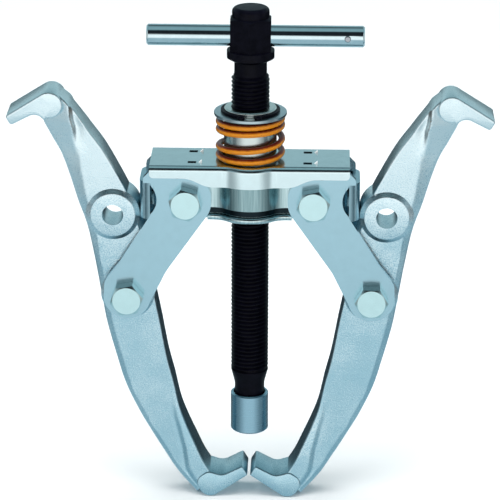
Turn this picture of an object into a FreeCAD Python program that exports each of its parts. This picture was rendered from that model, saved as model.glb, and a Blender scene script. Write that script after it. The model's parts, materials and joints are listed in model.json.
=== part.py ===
"""Spring-loaded, self-gripping two-jaw gear puller with reversible double-ended arms.

Units are millimetres. +Z runs up the forcing screw, X is across the two jaws and the
pivot bolts lie along Y. The origin is the centre of the pressure foot's working face.
Everything that exists twice is drawn for the right side (+X) and mirrored.
"""
import FreeCAD, Part
import math
import os

Vec = FreeCAD.Vector

# ---- fits ---------------------------------------------------------------
RUNNING_FIT = 0.06          # radial clearance of turning and sliding fits
SIDE_GAP = 0.3              # side clearance between stacked pivot plates

# ---- forcing screw ------------------------------------------------------
THREAD_R = 9.0              # M18 x 2
THREAD_LOW = 31.5
THREAD_TOP = 180.8
NOSE_R = 7.2
NOSE_LOW = 10.0
NOSE_TAPER_LOW = 24.5
NECK_R = 7.7
COLLAR_R = 11.2
COLLAR_CHAMFER_LOW = 187.0
COLLAR_LOW = 188.9
HEX_LOW = 192.5
HEX_TOP = 208.5
HEX_FLATS = 19.0
BOSS_R = 8.8
BOSS_TOP = 213.2
BOSS_ROUND = 2.2

# ---- sliding tee bar ----------------------------------------------------
BAR_R = 5.0
BAR_LENGTH = 102.0
BAR_CENTRE_X = 2.3
BAR_Z = 199.3
BAR_END_CHAMFER = 0.8
BAR_PIN_R = 1.5
BAR_PIN_INSET = 8.0
BAR_PIN_PROUD = 0.6
BAR_PIN_DEPTH = 3.0
BAR_PIN_CROWN = 0.5

# ---- pressure foot ------------------------------------------------------
FOOT_R = 9.1
FOOT_HEIGHT = 19.5
FOOT_SOCKET_R = 7.8
FOOT_SOCKET_FLOOR = 6.3
FOOT_SOCKET_FLOOR_R = 5.0
FOOT_CHAMFER = 0.6
BALL_R = 2.4
BALL_Z = 8.8
RING_Z = 14.0
RING_R = 7.6                # to the centre of the wire
RING_WIRE_R = 0.8
RING_GAP = 2.4
NOSE_GROOVE_R = 6.4
NOSE_GROOVE_HALF = 1.1

# ---- nut sleeve, circlip, washer and spring -----------------------------
SLEEVE_R = 12.5
SLEEVE_TOP = 164.8
SLEEVE_SPIGOT_R = 11.0
PRESS_GAP = 0.02            # radial gap drawn at pressed and seated fits
SLEEVE_FOOT_CHAMFER = 0.8
SLEEVE_TOP_CHAMFER = 0.5
CIRCLIP_LOW = 162.6
CIRCLIP_THICK = 1.2
CIRCLIP_R = 14.0
CIRCLIP_GROOVE_R = 11.8
CIRCLIP_GAP = 5.0
LUG_R = 1.9                 # plier lugs of the circlip
LUG_X = 3.9
LUG_HOLE_R = 0.8
LUG_HOLE_X = 4.1
LUG_REACH = 0.1             # lug centres beyond the ring's rim
WASHER_R = 17.2
WASHER_THICK = 1.6
WASHER_ROUND = 0.35
WASHER_PLAY = 0.15
WIRE_R = 1.55
SPRING_R = 14.9             # to the centre of the wire
SPRING_TURNS = 3.8
SPRING_SPANS = 8            # the helix is drawn as this many equal spans
SPRING_SEAT_GAP = 0.02

# ---- spring cap ---------------------------------------------------------
SHEET = 2.0
CAP_TOP = 139.4
CAP_HALF_LENGTH = 47.2
CAP_HALF_WIDTH = 15.8
CAP_BULGE_R = 19.0
CAP_LOW_END = 133.6
CAP_LOW_MIDDLE = 129.4
CAP_BEND = 2.6
CAP_HOLE_PLAY = 0.4
CAP_CORNER = 1.8
CAP_SWEEP_X = (20.0, 29.0)  # the lower edge sweeps down between these
CAP_SWEEP_R = 14.0
SLOT_X = 27.3
SLOT_Y = 8.3
SLOT_LENGTH = 4.0
SLOT_WIDTH = 3.0

# ---- yoke channels ------------------------------------------------------
YOKE_HALF_LENGTH = 41.0
UPPER_TOP = 136.9
UPPER_HALF_WIDTH = 9.9
UPPER_BULGE_R = 16.7
UPPER_LOW = 117.6
UPPER_EAR_LOW = 112.5
UPPER_EAR_X = 20.5
UPPER_EAR_RUN = 3.0         # slope between the ears and the raised middle
UPPER_EAR_ROUND = 2.0
CHANNEL_TOP_ROUND = 4.0
CHANNEL_LOW_ROUND = 7.0
LOWER_TOP = 134.0
LOWER_LOW = 110.9
LOWER_HALF_WIDTH = 7.8
LOWER_BULGE_R = 14.6
LIP_HALF_LENGTH = 20.0      # rolled lip along the foot of the lower channel
LIP_PROUD = 2.1
LIP_TOP = 114.2
LIP_ROUND = 1.6
LIP_ROOT = 0.5
BULGE_BLEND = 9.0

# ---- pivots -------------------------------------------------------------
UPPER_PIVOT = (30.2, 121.3)
LOWER_PIVOT = (58.4, 73.0)
FREE_HOLE = (65.1, 112.9)
FREE_HOLE_R = 5.1
BOLT_R = 5.0
HEAD_FLATS = 14.0
HEAD_HEIGHT = 6.4
FACE_SHARE = 0.475          # radius of the turned face over the width across flats
CHAMFER_ANGLE = 30.0
BOLT_CHAMFER = 1.0
NUT_HEIGHT = 8.0
THREAD_END = 2.0
HEAD_TURN = {"upper_left": 14.0, "upper_right": 41.0, "lower_left": 39.0, "lower_right": 30.0}

# ---- links --------------------------------------------------------------
LINK_IN = 10.2              # inner faces of the two plates, from the middle plane
LINK_OUT = 13.4
LINK_WEB_X = 52.2
LINK_WEB_LOW = 112.0
LINK_WEB_TOP = 130.5
LINK_BEND = 7.0
LINK_WINDOW_LEFT = 43.9     # crescent window through the front plate, along the bend
LINK_WINDOW_RIGHT = 47.1
LINK_WINDOW_Z = 122.0
LINK_WINDOW_R = 10.0
LINK_UPPER_R = 12.0
LINK_LOWER_R = 11.2
LINK_OUTLINE = [            # corner x, corner z, corner radius
    (18.1, 130.0, 8.0), (18.1, 117.2, 12.0), (39.6, 86.3, 30.0), (47.7, 69.7, 0.0),
    (58.4, 62.0, 0.0), (69.6, 70.0, 0.0), (69.3, 80.8, 7.0), (62.0, 90.0, 12.0),
    (45.2, 117.2, 4.0), (45.2, 130.4, 0.0), (50.2, 130.4, 0.0), (50.2, 133.0, 2.0),
    (46.6, 136.7, 2.5), (37.5, 136.7, 5.0), (33.0, 131.0, 0.0), (26.0, 131.6, 0.0),
]

# ---- arms ---------------------------------------------------------------
ARM_HALF = 8.5              # half thickness of the shank
HOOK_HALF = 10.0            # half width of the claws
BOSS_HALF = 9.9
ARM_BOSS_R = 10.9
BOSS_FOOT_R = 12.9          # where the drafted boss meets the shank
BOSS_FOOT_HALF = 8.0
FLANK_CHAMFER = 3.0
FLANK_LOW = -24.0           # the chamfered outer flank runs between these heights
FLANK_TOP = 156.0
ARM_SPINE = [(20.0, -30.0), (58.4, 73.0), (65.1, 112.9), (92.0, 160.0)]
ARM_OUTLINE = [             # corner x, corner z, corner radius
    (115.2, 161.6, 1.5), (93.6, 176.8, 6.0), (81.6, 163.2, 8.0), (52.9, 114.5, 40.0),
    (45.6, 68.0, 90.0), (33.2, 7.0, 90.0), (19.2, -20.8, 5.0), (13.0, -20.2, 4.0),
    (3.2, -16.6, 0.8), (0.4, -21.4, 0.8), (20.8, -35.2, 6.0), (46.0, -4.0, 90.0),
    (60.5, 22.0, 80.0), (71.0, 58.0, 60.0), (72.3, 80.0, 60.0), (81.5, 119.0, 90.0),
    (90.0, 142.5, 60.0), (99.6, 162.4, 4.0), (112.6, 156.8, 1.2),
]
UPPER_HOOK_OUTLINE = [
    (115.2, 161.6, 1.5), (93.6, 176.0, 6.4), (86.0, 163.5, 6.4), (96.0, 158.8, 5.0),
    (101.5, 162.0, 4.0), (112.6, 156.8, 1.2),
]
LOWER_HOOK_OUTLINE = [
    (27.4, -25.0, 5.0), (20.0, -19.6, 3.6), (13.0, -21.8, 6.0), (3.2, -16.6, 0.8),
    (0.4, -21.4, 0.8), (20.2, -34.8, 5.6),
]

TOP = Vec(0, 0, 1)
ALONG_Y = Vec(0, 1, 0)


# ---- helpers ------------------------------------------------------------
def outline_face(corners):
    """Face in the XZ plane from corner points, each rounded by a tangent arc."""
    count = len(corners)
    edges = []
    starts = []
    for i in range(count):
        here = Vec(corners[i][0], 0, corners[i][1])
        before = Vec(corners[i - 1][0], 0, corners[i - 1][1])
        after = Vec(corners[(i + 1) % count][0], 0, corners[(i + 1) % count][1])
        radius = corners[i][2]
        to_before = (before - here).normalize()
        to_after = (after - here).normalize()
        half = to_before.getAngle(to_after) / 2
        if radius == 0:
            starts.append((here, None, here))
            continue
        reach = radius / math.tan(half)
        bisector = (to_before + to_after).normalize()
        centre = here + bisector * (radius / math.sin(half))
        middle = centre - bisector * radius
        starts.append((here + to_before * reach, middle, here + to_after * reach))
    for i in range(count):
        first, middle, last = starts[i]
        if middle:
            edges.append(Part.Arc(first, middle, last).toShape())
        following = starts[(i + 1) % count][0]
        if last.distanceToPoint(following) > 1e-6:
            edges.append(Part.LineSegment(last, following).toShape())
    return Part.Face(Part.Wire(edges))


def slab(corners, half):
    """Outline in the XZ plane, given thickness both ways along Y."""
    face = outline_face(corners)
    face.translate(Vec(0, -half, 0))
    return face.extrude(Vec(0, 2 * half, 0))


def disc(radius, place, half):
    """Cylinder along Y, centred on the middle plane."""
    return Part.makeCylinder(radius, 2 * half, Vec(place[0], -half, place[1]), ALONG_Y)


def upright(radius, low, top):
    return Part.makeCylinder(radius, top - low, Vec(0, 0, low), TOP)


def cone(radius_low, radius_top, low, top):
    return Part.makeCone(radius_low, radius_top, top - low, Vec(0, 0, low), TOP)


def hexagon(flats, low, height, turn=0.0):
    """Hexagonal prism along Z with two flats facing X when turn is zero."""
    corner = flats / math.sqrt(3)
    angles = [math.radians(30 + 60 * i + turn) for i in range(6)]
    points = [Vec(corner * math.cos(a), corner * math.sin(a), low) for a in angles]
    return Part.Face(Part.makePolygon(points + points[:1])).extrude(Vec(0, 0, height))


def mirrored(shape):
    return shape.mirror(Vec(0, 0, 0), Vec(1, 0, 0))


def box(low, high):
    size = [high[i] - low[i] for i in range(3)]
    return Part.makeBox(size[0], size[1], size[2], Vec(*low))


# ---- forcing screw ------------------------------------------------------
def chamfered_hexagon(flats, low, height, turn=0.0):
    """Hexagon whose top corners are turned off by a cone."""
    prism = hexagon(flats, low, height, turn)
    corner = flats / math.sqrt(3)
    face_r = flats * FACE_SHARE
    drop = (corner - face_r) * math.tan(math.radians(CHAMFER_ANGLE))
    turned = upright(corner + 1, low, low + height - drop).fuse(
        cone(corner, face_r, low + height - drop, low + height))
    return prism.common(turned)


def centre_screw():
    boss = upright(BOSS_R, HEX_TOP - 1, BOSS_TOP)
    rim = [edge for edge in boss.Edges if abs(edge.CenterOfMass.z - BOSS_TOP) < 1e-3]
    boss = boss.makeFillet(BOSS_ROUND, rim)
    body = upright(NOSE_R, NOSE_LOW, NOSE_TAPER_LOW + 1)
    body = body.fuse([
        cone(NOSE_R, THREAD_R, NOSE_TAPER_LOW, THREAD_LOW),
        upright(THREAD_R, THREAD_LOW, THREAD_TOP - 1),
        cone(THREAD_R, NECK_R, THREAD_TOP - 1, THREAD_TOP),
        upright(NECK_R, THREAD_TOP - 1, COLLAR_LOW),
        cone(NECK_R, COLLAR_R, COLLAR_CHAMFER_LOW, COLLAR_LOW),
        upright(COLLAR_R, COLLAR_LOW, HEX_LOW),
        chamfered_hexagon(HEX_FLATS, HEX_LOW, HEX_TOP - HEX_LOW),
        boss,
    ])
    groove = upright(NOSE_R + 1, RING_Z - NOSE_GROOVE_HALF, RING_Z + NOSE_GROOVE_HALF)
    groove = groove.cut(upright(NOSE_GROOVE_R, RING_Z - 2, RING_Z + 2))
    cross_hole = Part.makeCylinder(BAR_R + RUNNING_FIT, 4 * COLLAR_R,
                                   Vec(-2 * COLLAR_R, 0, BAR_Z), Vec(1, 0, 0))
    return body.cut([groove, cross_hole, thrust_ball()]).removeSplitter()


def thrust_ball():
    """Ball pressed into the end of the nose; it turns on the floor of the foot's socket."""
    return Part.makeSphere(BALL_R, Vec(0, 0, BALL_Z))


# ---- tee bar ------------------------------------------------------------
def bar_pin(x, side):
    """Pin pressed into the bar from the front (-1) or the back (+1)."""
    reach = BAR_R + BAR_PIN_PROUD
    start = Vec(x, side * (BAR_R - BAR_PIN_DEPTH), BAR_Z)
    pin = Part.makeCylinder(BAR_PIN_R, reach - (BAR_R - BAR_PIN_DEPTH), start, Vec(0, side, 0))
    crown = [e for e in pin.Edges if abs(abs(e.CenterOfMass.y) - reach) < 1e-3]
    return pin.makeFillet(BAR_PIN_CROWN, crown)


def tee_bar():
    first = BAR_CENTRE_X - BAR_LENGTH / 2
    bar = Part.makeCylinder(BAR_R, BAR_LENGTH, Vec(first, 0, BAR_Z), Vec(1, 0, 0))
    rims = [e for e in bar.Edges if isinstance(e.Curve, Part.Circle)]
    bar = bar.makeChamfer(BAR_END_CHAMFER, rims)
    left = bar_pin(first + BAR_PIN_INSET, 1)
    right = bar_pin(first + BAR_LENGTH - BAR_PIN_INSET, -1)
    return bar.cut([left, right]), Part.makeCompound([left, right])


# ---- pressure foot ------------------------------------------------------
def pressure_foot():
    foot = upright(FOOT_R, 0, FOOT_HEIGHT)
    rims = [e for e in foot.Edges if isinstance(e.Curve, Part.Circle)]
    foot = foot.makeChamfer(FOOT_CHAMFER, rims)
    foot = foot.cut(upright(FOOT_SOCKET_R, FOOT_SOCKET_FLOOR + 2, FOOT_HEIGHT + 1))
    foot = foot.cut(cone(FOOT_SOCKET_FLOOR_R, FOOT_SOCKET_R, FOOT_SOCKET_FLOOR, FOOT_SOCKET_FLOOR + 2))
    return foot.cut(Part.makeTorus(RING_R, RING_WIRE_R + PRESS_GAP, Vec(0, 0, RING_Z), TOP))


def foot_snap_ring():
    """Split ring of round wire that keeps the foot on the screw's nose."""
    ring = Part.makeTorus(RING_R, RING_WIRE_R, Vec(0, 0, RING_Z), TOP)
    return ring.cut(box((-RING_GAP / 2, -2 * FOOT_R, RING_Z - 2), (RING_GAP / 2, 0, RING_Z + 2)))


# ---- nut sleeve and what sits on it -------------------------------------
def nut_sleeve():
    sleeve = upright(SLEEVE_R, LOWER_LOW + SHEET, SLEEVE_TOP)
    for level, chamfer in ((SLEEVE_TOP, SLEEVE_TOP_CHAMFER), (LOWER_LOW + SHEET, SLEEVE_FOOT_CHAMFER)):
        rim = [e for e in sleeve.Edges if abs(e.CenterOfMass.z - level) < 1e-3]
        sleeve = sleeve.makeChamfer(chamfer, rim)
    sleeve = sleeve.fuse(upright(SLEEVE_SPIGOT_R, LOWER_LOW, LOWER_LOW + SHEET + 1))
    groove = upright(SLEEVE_R + 1, CIRCLIP_LOW, CIRCLIP_LOW + CIRCLIP_THICK)
    groove = groove.cut(upright(CIRCLIP_GROOVE_R, CIRCLIP_LOW - 1, CIRCLIP_LOW + 3))
    bore = upright(THREAD_R + RUNNING_FIT, LOWER_LOW - 1, SLEEVE_TOP + 1)
    return sleeve.cut([groove, bore]).removeSplitter()


def sleeve_circlip():
    """External circlip with two plier lugs either side of a gap at the front."""
    ring = upright(CIRCLIP_R, CIRCLIP_LOW, CIRCLIP_LOW + CIRCLIP_THICK)
    for side in (-1, 1):
        lug = Part.makeCylinder(LUG_R, CIRCLIP_THICK, Vec(side * LUG_X, -CIRCLIP_R - LUG_REACH, CIRCLIP_LOW))
        ring = ring.fuse(lug)
    ring = ring.cut(upright(CIRCLIP_GROOVE_R + PRESS_GAP, CIRCLIP_LOW - 1, CIRCLIP_LOW + 3))
    gap = box((-CIRCLIP_GAP / 2, -2 * CIRCLIP_R, CIRCLIP_LOW - 1), (CIRCLIP_GAP / 2, 0, CIRCLIP_LOW + 3))
    holes = [Part.makeCylinder(LUG_HOLE_R, 2 * CIRCLIP_THICK + 2,
                               Vec(side * LUG_HOLE_X, -CIRCLIP_R - LUG_REACH, CIRCLIP_LOW - 1))
             for side in (-1, 1)]
    return ring.cut([gap] + holes).removeSplitter()


def spring_washer():
    washer = upright(WASHER_R, CIRCLIP_LOW - WASHER_THICK, CIRCLIP_LOW)
    rims = [e for e in washer.Edges if isinstance(e.Curve, Part.Circle)]
    washer = washer.makeFillet(WASHER_ROUND, rims)
    return washer.cut(upright(SLEEVE_R + WASHER_PLAY, CIRCLIP_LOW - 3, CIRCLIP_LOW + 1))


def jaw_spring():
    """Right-hand helical compression spring between the cap and the washer."""
    low = CAP_TOP + WIRE_R + SPRING_SEAT_GAP
    height = CIRCLIP_LOW - WASHER_THICK - WIRE_R - SPRING_SEAT_GAP - low
    spans = []
    for i in range(SPRING_SPANS):
        span = Part.makeHelix(height / SPRING_TURNS, height / SPRING_SPANS, SPRING_R)
        span.rotate(Vec(0, 0, 0), TOP, 360 * SPRING_TURNS / SPRING_SPANS * i)
        span.translate(Vec(0, 0, low + height / SPRING_SPANS * i))
        spans += span.Edges
    helix = Part.Wire(spans)
    start = helix.OrderedEdges[0]
    begin = start.FirstParameter
    section = Part.makeCircle(WIRE_R, start.valueAt(begin), start.tangentAt(begin))
    return helix.makePipeShell([Part.Wire(section)], True, True)


# ---- sheet-metal channels -----------------------------------------------
def bulged_prism(half_length, half_width, bulge_r, blend, low, top):
    """Box with a round bulge in the middle of both long sides, blended in."""
    block = box((-half_length, -half_width, low), (half_length, half_width, top))
    prism = block.fuse(upright(bulge_r, low, top)).removeSplitter()
    meet_x = math.sqrt(bulge_r ** 2 - half_width ** 2)
    corners = [e for e in prism.Edges if is_upright_at(e, meet_x, half_width)]
    return prism.makeFillet(blend, corners)


def is_upright_at(edge, x, y):
    middle = edge.CenterOfMass
    vertical = abs(edge.BoundBox.ZLength - edge.Length) < 1e-6
    return vertical and abs(abs(middle.x) - x) < 0.01 and abs(abs(middle.y) - y) < 0.01


def rounded_along(prism, level, radius):
    """Round the long edges of a channel at the given height."""
    edges = [e for e in prism.Edges
             if abs(e.BoundBox.ZMin - level) < 1e-4 and abs(e.BoundBox.ZMax - level) < 1e-4
             and e.BoundBox.XLength > 0.5]
    return prism.makeFillet(radius, edges)


def pivot_holes(half):
    hole = disc(BOLT_R + RUNNING_FIT, UPPER_PIVOT, half)
    return [hole, mirrored(hole)]


def channel_shell(half_length, half_width, bulge_r, low, top, web_at_top):
    """Bent channel of even sheet with its web at the top or at the bottom."""
    outer = bulged_prism(half_length, half_width, bulge_r, BULGE_BLEND, low, top)
    inner_low, inner_top = (low - 1, top - SHEET) if web_at_top else (low + SHEET, top + 1)
    inner = bulged_prism(half_length + 1, half_width - SHEET, bulge_r - SHEET,
                         BULGE_BLEND + SHEET, inner_low, inner_top)
    level, inner_level = (top, inner_top) if web_at_top else (low, inner_low)
    outer = rounded_along(outer, level, CAP_BEND)
    inner = rounded_along(inner, inner_level, CAP_BEND - SHEET)
    return outer.cut(inner)


def spring_cap():
    shell = channel_shell(CAP_HALF_LENGTH, CAP_HALF_WIDTH, CAP_BULGE_R, CAP_LOW_MIDDLE, CAP_TOP, True)
    low_x, end_x = CAP_SWEEP_X
    side_view = slab([
        (-CAP_HALF_LENGTH, CAP_TOP, 0), (-CAP_HALF_LENGTH, CAP_LOW_END, CAP_CORNER),
        (-end_x, CAP_LOW_END, CAP_SWEEP_R), (-low_x, CAP_LOW_MIDDLE, CAP_SWEEP_R),
        (low_x, CAP_LOW_MIDDLE, CAP_SWEEP_R), (end_x, CAP_LOW_END, CAP_SWEEP_R),
        (CAP_HALF_LENGTH, CAP_LOW_END, CAP_CORNER), (CAP_HALF_LENGTH, CAP_TOP, 0),
    ], 2 * CAP_BULGE_R)
    cuts = [upright(SLEEVE_R + CAP_HOLE_PLAY, CAP_TOP - 3, CAP_TOP + 1)]
    for x in (-SLOT_X, SLOT_X):
        for y in (-SLOT_Y, SLOT_Y):
            cuts.append(box((x - SLOT_LENGTH / 2, y - SLOT_WIDTH / 2, CAP_TOP - 3),
                            (x + SLOT_LENGTH / 2, y + SLOT_WIDTH / 2, CAP_TOP + 1)))
    return shell.common(side_view).cut(cuts)


def yoke_upper_channel():
    shell = channel_shell(YOKE_HALF_LENGTH, UPPER_HALF_WIDTH, UPPER_BULGE_R, UPPER_EAR_LOW, UPPER_TOP, True)
    ear_x = UPPER_EAR_X + UPPER_EAR_RUN
    side_view = slab([
        (-YOKE_HALF_LENGTH, UPPER_TOP, CHANNEL_TOP_ROUND),
        (-YOKE_HALF_LENGTH, UPPER_EAR_LOW, CHANNEL_LOW_ROUND),
        (-ear_x, UPPER_EAR_LOW, UPPER_EAR_ROUND), (-UPPER_EAR_X, UPPER_LOW, UPPER_EAR_ROUND),
        (UPPER_EAR_X, UPPER_LOW, UPPER_EAR_ROUND), (ear_x, UPPER_EAR_LOW, UPPER_EAR_ROUND),
        (YOKE_HALF_LENGTH, UPPER_EAR_LOW, CHANNEL_LOW_ROUND),
        (YOKE_HALF_LENGTH, UPPER_TOP, CHANNEL_TOP_ROUND),
    ], 2 * UPPER_BULGE_R)
    sleeve_hole = upright(SLEEVE_R + PRESS_GAP, UPPER_TOP - 4, UPPER_TOP + 1)
    return shell.common(side_view).cut([sleeve_hole] + pivot_holes(UPPER_HALF_WIDTH + 1))


def rolled_lip():
    """Rounded bead that stands out along both sides of the lower channel's foot."""
    lip = bulged_prism(LIP_HALF_LENGTH, LOWER_HALF_WIDTH + LIP_PROUD, LOWER_BULGE_R + LIP_PROUD,
                       BULGE_BLEND, LOWER_LOW, LIP_TOP)
    for level in (LOWER_LOW, LIP_TOP):
        lip = rounded_along(lip, level, LIP_ROUND)
    inside = bulged_prism(LIP_HALF_LENGTH + 1, LOWER_HALF_WIDTH - LIP_ROOT, LOWER_BULGE_R - LIP_ROOT,
                          BULGE_BLEND + LIP_ROOT, LOWER_LOW - 1, LIP_TOP + 1)
    return lip.cut(inside)


def yoke_lower_channel():
    shell = channel_shell(YOKE_HALF_LENGTH, LOWER_HALF_WIDTH, LOWER_BULGE_R, LOWER_LOW, LOWER_TOP, False)
    side_view = slab([
        (-YOKE_HALF_LENGTH, LOWER_TOP, CHANNEL_TOP_ROUND), (-YOKE_HALF_LENGTH, LOWER_LOW, CHANNEL_LOW_ROUND),
        (YOKE_HALF_LENGTH, LOWER_LOW, CHANNEL_LOW_ROUND), (YOKE_HALF_LENGTH, LOWER_TOP, CHANNEL_TOP_ROUND),
    ], 2 * LOWER_BULGE_R)
    spigot_hole = upright(SLEEVE_SPIGOT_R + PRESS_GAP, LOWER_LOW - 1, LOWER_LOW + 4)
    body = shell.common(side_view).fuse(rolled_lip())
    return body.cut([spigot_hole] + pivot_holes(LOWER_HALF_WIDTH + 1)).removeSplitter()


# ---- links --------------------------------------------------------------
def link_web():
    """Bent-over web that joins the two plates: a U seen from above."""
    def plan(outer_x, half, bend):
        block = box((LINK_WEB_X - LINK_BEND - 1, -half, LINK_WEB_LOW), (outer_x, half, LINK_WEB_TOP))
        return block.makeFillet(bend, [e for e in block.Edges if is_upright_at(e, outer_x, half)])
    thick = LINK_OUT - LINK_IN
    return plan(LINK_WEB_X, LINK_OUT, LINK_BEND).cut(plan(LINK_WEB_X - thick, LINK_IN, LINK_BEND - thick))


def link_window():
    """Crescent window that eases the bend: a disc's edge cut off square beside the web."""
    beside_web = box((0, -2 * LINK_OUT, 0), (LINK_WINDOW_RIGHT, 0, 2 * LINK_WEB_TOP))
    window = disc(LINK_WINDOW_R, (LINK_WINDOW_LEFT + LINK_WINDOW_R, LINK_WINDOW_Z), 2 * LINK_OUT)
    return window.common(beside_web)


def right_link():
    body = slab(LINK_OUTLINE, LINK_OUT)
    body = body.fuse([disc(LINK_UPPER_R, UPPER_PIVOT, LINK_OUT), disc(LINK_LOWER_R, LOWER_PIVOT, LINK_OUT)])
    body = body.cut(box((0, -LINK_IN, 0), (100, LINK_IN, 200)))
    body = body.fuse(link_web())
    holes = [disc(BOLT_R + RUNNING_FIT, UPPER_PIVOT, 2 * LINK_OUT),
             disc(BOLT_R + RUNNING_FIT, LOWER_PIVOT, 2 * LINK_OUT)]
    return body.cut(holes + [link_window()]).removeSplitter()


# ---- arms ---------------------------------------------------------------
def spine_x(z):
    """X of the arm's middle line at a height."""
    for (x1, z1), (x2, z2) in zip(ARM_SPINE, ARM_SPINE[1:]):
        if z <= z2:
            return x1 + (x2 - x1) * (z - z1) / (z2 - z1)
    return ARM_SPINE[-1][0]


def on_outer_flank(edge):
    middle = edge.CenterOfMass
    on_face = abs(abs(middle.y) - ARM_HALF) < 1e-3
    return on_face and FLANK_LOW < middle.z < FLANK_TOP and middle.x > spine_x(middle.z)


def drafted_boss(place):
    """Round boss that stands out on both faces of the shank, wider at its foot."""
    rise = BOSS_HALF - BOSS_FOOT_HALF
    boss = disc(BOSS_FOOT_R, place, BOSS_FOOT_HALF)
    for side in (-1, 1):
        foot = Vec(place[0], side * BOSS_FOOT_HALF, place[1])
        boss = boss.fuse(Part.makeCone(BOSS_FOOT_R, ARM_BOSS_R, rise, foot, Vec(0, side, 0)))
    return boss


def right_arm():
    shank = slab(ARM_OUTLINE, ARM_HALF)
    shank = shank.makeChamfer(FLANK_CHAMFER, [e for e in shank.Edges if on_outer_flank(e)])
    body = shank.fuse([
        slab(UPPER_HOOK_OUTLINE, HOOK_HALF), slab(LOWER_HOOK_OUTLINE, HOOK_HALF),
        drafted_boss(LOWER_PIVOT), drafted_boss(FREE_HOLE),
    ])
    holes = [disc(BOLT_R + RUNNING_FIT, LOWER_PIVOT, 2 * BOSS_HALF),
             disc(FREE_HOLE_R, FREE_HOLE, 2 * BOSS_HALF)]
    return body.cut(holes).removeSplitter()


# ---- pivot bolts --------------------------------------------------------
def pivot_bolt(place, turn):
    """Hexagon bolt along Y, its head at the front (-Y)."""
    grip = LINK_OUT + SIDE_GAP / 2
    head = chamfered_hexagon(HEAD_FLATS, grip, HEAD_HEIGHT, turn)
    end = -(grip + NUT_HEIGHT + THREAD_END)
    shank = upright(BOLT_R, end + BOLT_CHAMFER, grip + 1)
    shank = shank.fuse(cone(BOLT_R - BOLT_CHAMFER, BOLT_R, end, end + BOLT_CHAMFER))
    return laid_along_y(head.fuse(shank).removeSplitter(), place)


def pivot_nut(place, turn):
    grip = LINK_OUT + SIDE_GAP / 2
    nut = chamfered_hexagon(HEAD_FLATS, grip, NUT_HEIGHT, turn)
    nut = nut.cut(upright(BOLT_R + PRESS_GAP / 2, 0, grip + NUT_HEIGHT + 1))
    nut.rotate(Vec(0, 0, 0), Vec(1, 0, 0), 180)
    return laid_along_y(nut, place)


def laid_along_y(shape, place):
    """Turn +Z to -Y, then move onto a pivot axis."""
    shape.rotate(Vec(0, 0, 0), Vec(1, 0, 0), 90)
    shape.translate(Vec(place[0], 0, place[1]))
    return shape


# ---- assembly -----------------------------------------------------------
def all_nodes():
    bar, pins = tee_bar()
    link = right_link()
    arm = right_arm()
    nodes = {
        "centre_screw": centre_screw(), "thrust_ball": thrust_ball(), "tee_bar": bar, "tee_bar_pins": pins,
        "pressure_foot": pressure_foot(), "foot_snap_ring": foot_snap_ring(), "nut_sleeve": nut_sleeve(),
        "sleeve_circlip": sleeve_circlip(), "spring_washer": spring_washer(), "jaw_spring": jaw_spring(),
        "spring_cap": spring_cap(), "yoke_upper_channel": yoke_upper_channel(),
        "yoke_lower_channel": yoke_lower_channel(), "left_link": mirrored(link), "right_link": link,
        "left_arm": mirrored(arm), "right_arm": arm,
    }
    for level, pivot in (("upper", UPPER_PIVOT), ("lower", LOWER_PIVOT)):
        for side, sign in (("left", -1), ("right", 1)):
            place = (sign * pivot[0], pivot[1])
            turn = HEAD_TURN[level + "_" + side]
            nodes[side + "_" + level + "_bolt"] = pivot_bolt(place, turn)
            nodes[side + "_" + level + "_nut"] = pivot_nut(place, turn)
    return nodes


os.makedirs("parts", exist_ok=True)
for name, shape in all_nodes().items():
    shape.exportStep("parts/" + name + ".step")
    print("%-20s solids %d  valid %s  volume %6.0f mm3"
          % (name, len(shape.Solids), shape.isValid(), shape.Volume))
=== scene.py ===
"""Looks of the two-jaw gear puller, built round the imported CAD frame.

Blender's own unit is the metre. Shapes are given in millimetres here. The bumps' depths, the patterns'
scales and the stage are in metres.
"""
import json
import math
from contextlib import contextmanager

import bmesh
import bpy
from mathutils import Matrix, Vector


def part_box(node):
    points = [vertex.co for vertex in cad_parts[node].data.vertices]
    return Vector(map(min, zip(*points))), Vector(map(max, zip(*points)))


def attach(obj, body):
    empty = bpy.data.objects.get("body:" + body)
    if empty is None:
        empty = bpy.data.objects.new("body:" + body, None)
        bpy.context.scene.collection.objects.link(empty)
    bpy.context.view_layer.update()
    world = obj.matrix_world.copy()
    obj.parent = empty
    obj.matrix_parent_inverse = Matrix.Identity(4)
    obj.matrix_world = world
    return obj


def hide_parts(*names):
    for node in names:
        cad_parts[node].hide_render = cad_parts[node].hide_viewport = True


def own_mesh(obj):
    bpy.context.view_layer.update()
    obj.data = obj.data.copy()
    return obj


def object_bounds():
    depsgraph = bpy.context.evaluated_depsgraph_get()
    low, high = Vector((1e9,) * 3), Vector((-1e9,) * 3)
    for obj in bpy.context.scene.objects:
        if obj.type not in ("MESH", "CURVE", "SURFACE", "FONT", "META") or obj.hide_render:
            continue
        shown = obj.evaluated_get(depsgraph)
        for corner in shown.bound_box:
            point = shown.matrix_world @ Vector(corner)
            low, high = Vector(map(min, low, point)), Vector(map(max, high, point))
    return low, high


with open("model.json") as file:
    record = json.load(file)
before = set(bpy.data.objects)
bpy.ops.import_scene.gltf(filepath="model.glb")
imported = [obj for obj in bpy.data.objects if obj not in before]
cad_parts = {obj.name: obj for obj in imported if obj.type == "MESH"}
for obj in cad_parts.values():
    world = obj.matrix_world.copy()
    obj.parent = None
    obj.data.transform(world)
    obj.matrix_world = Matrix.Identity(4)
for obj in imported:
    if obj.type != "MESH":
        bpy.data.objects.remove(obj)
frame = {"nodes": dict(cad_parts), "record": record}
cad_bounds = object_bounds()

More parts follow.
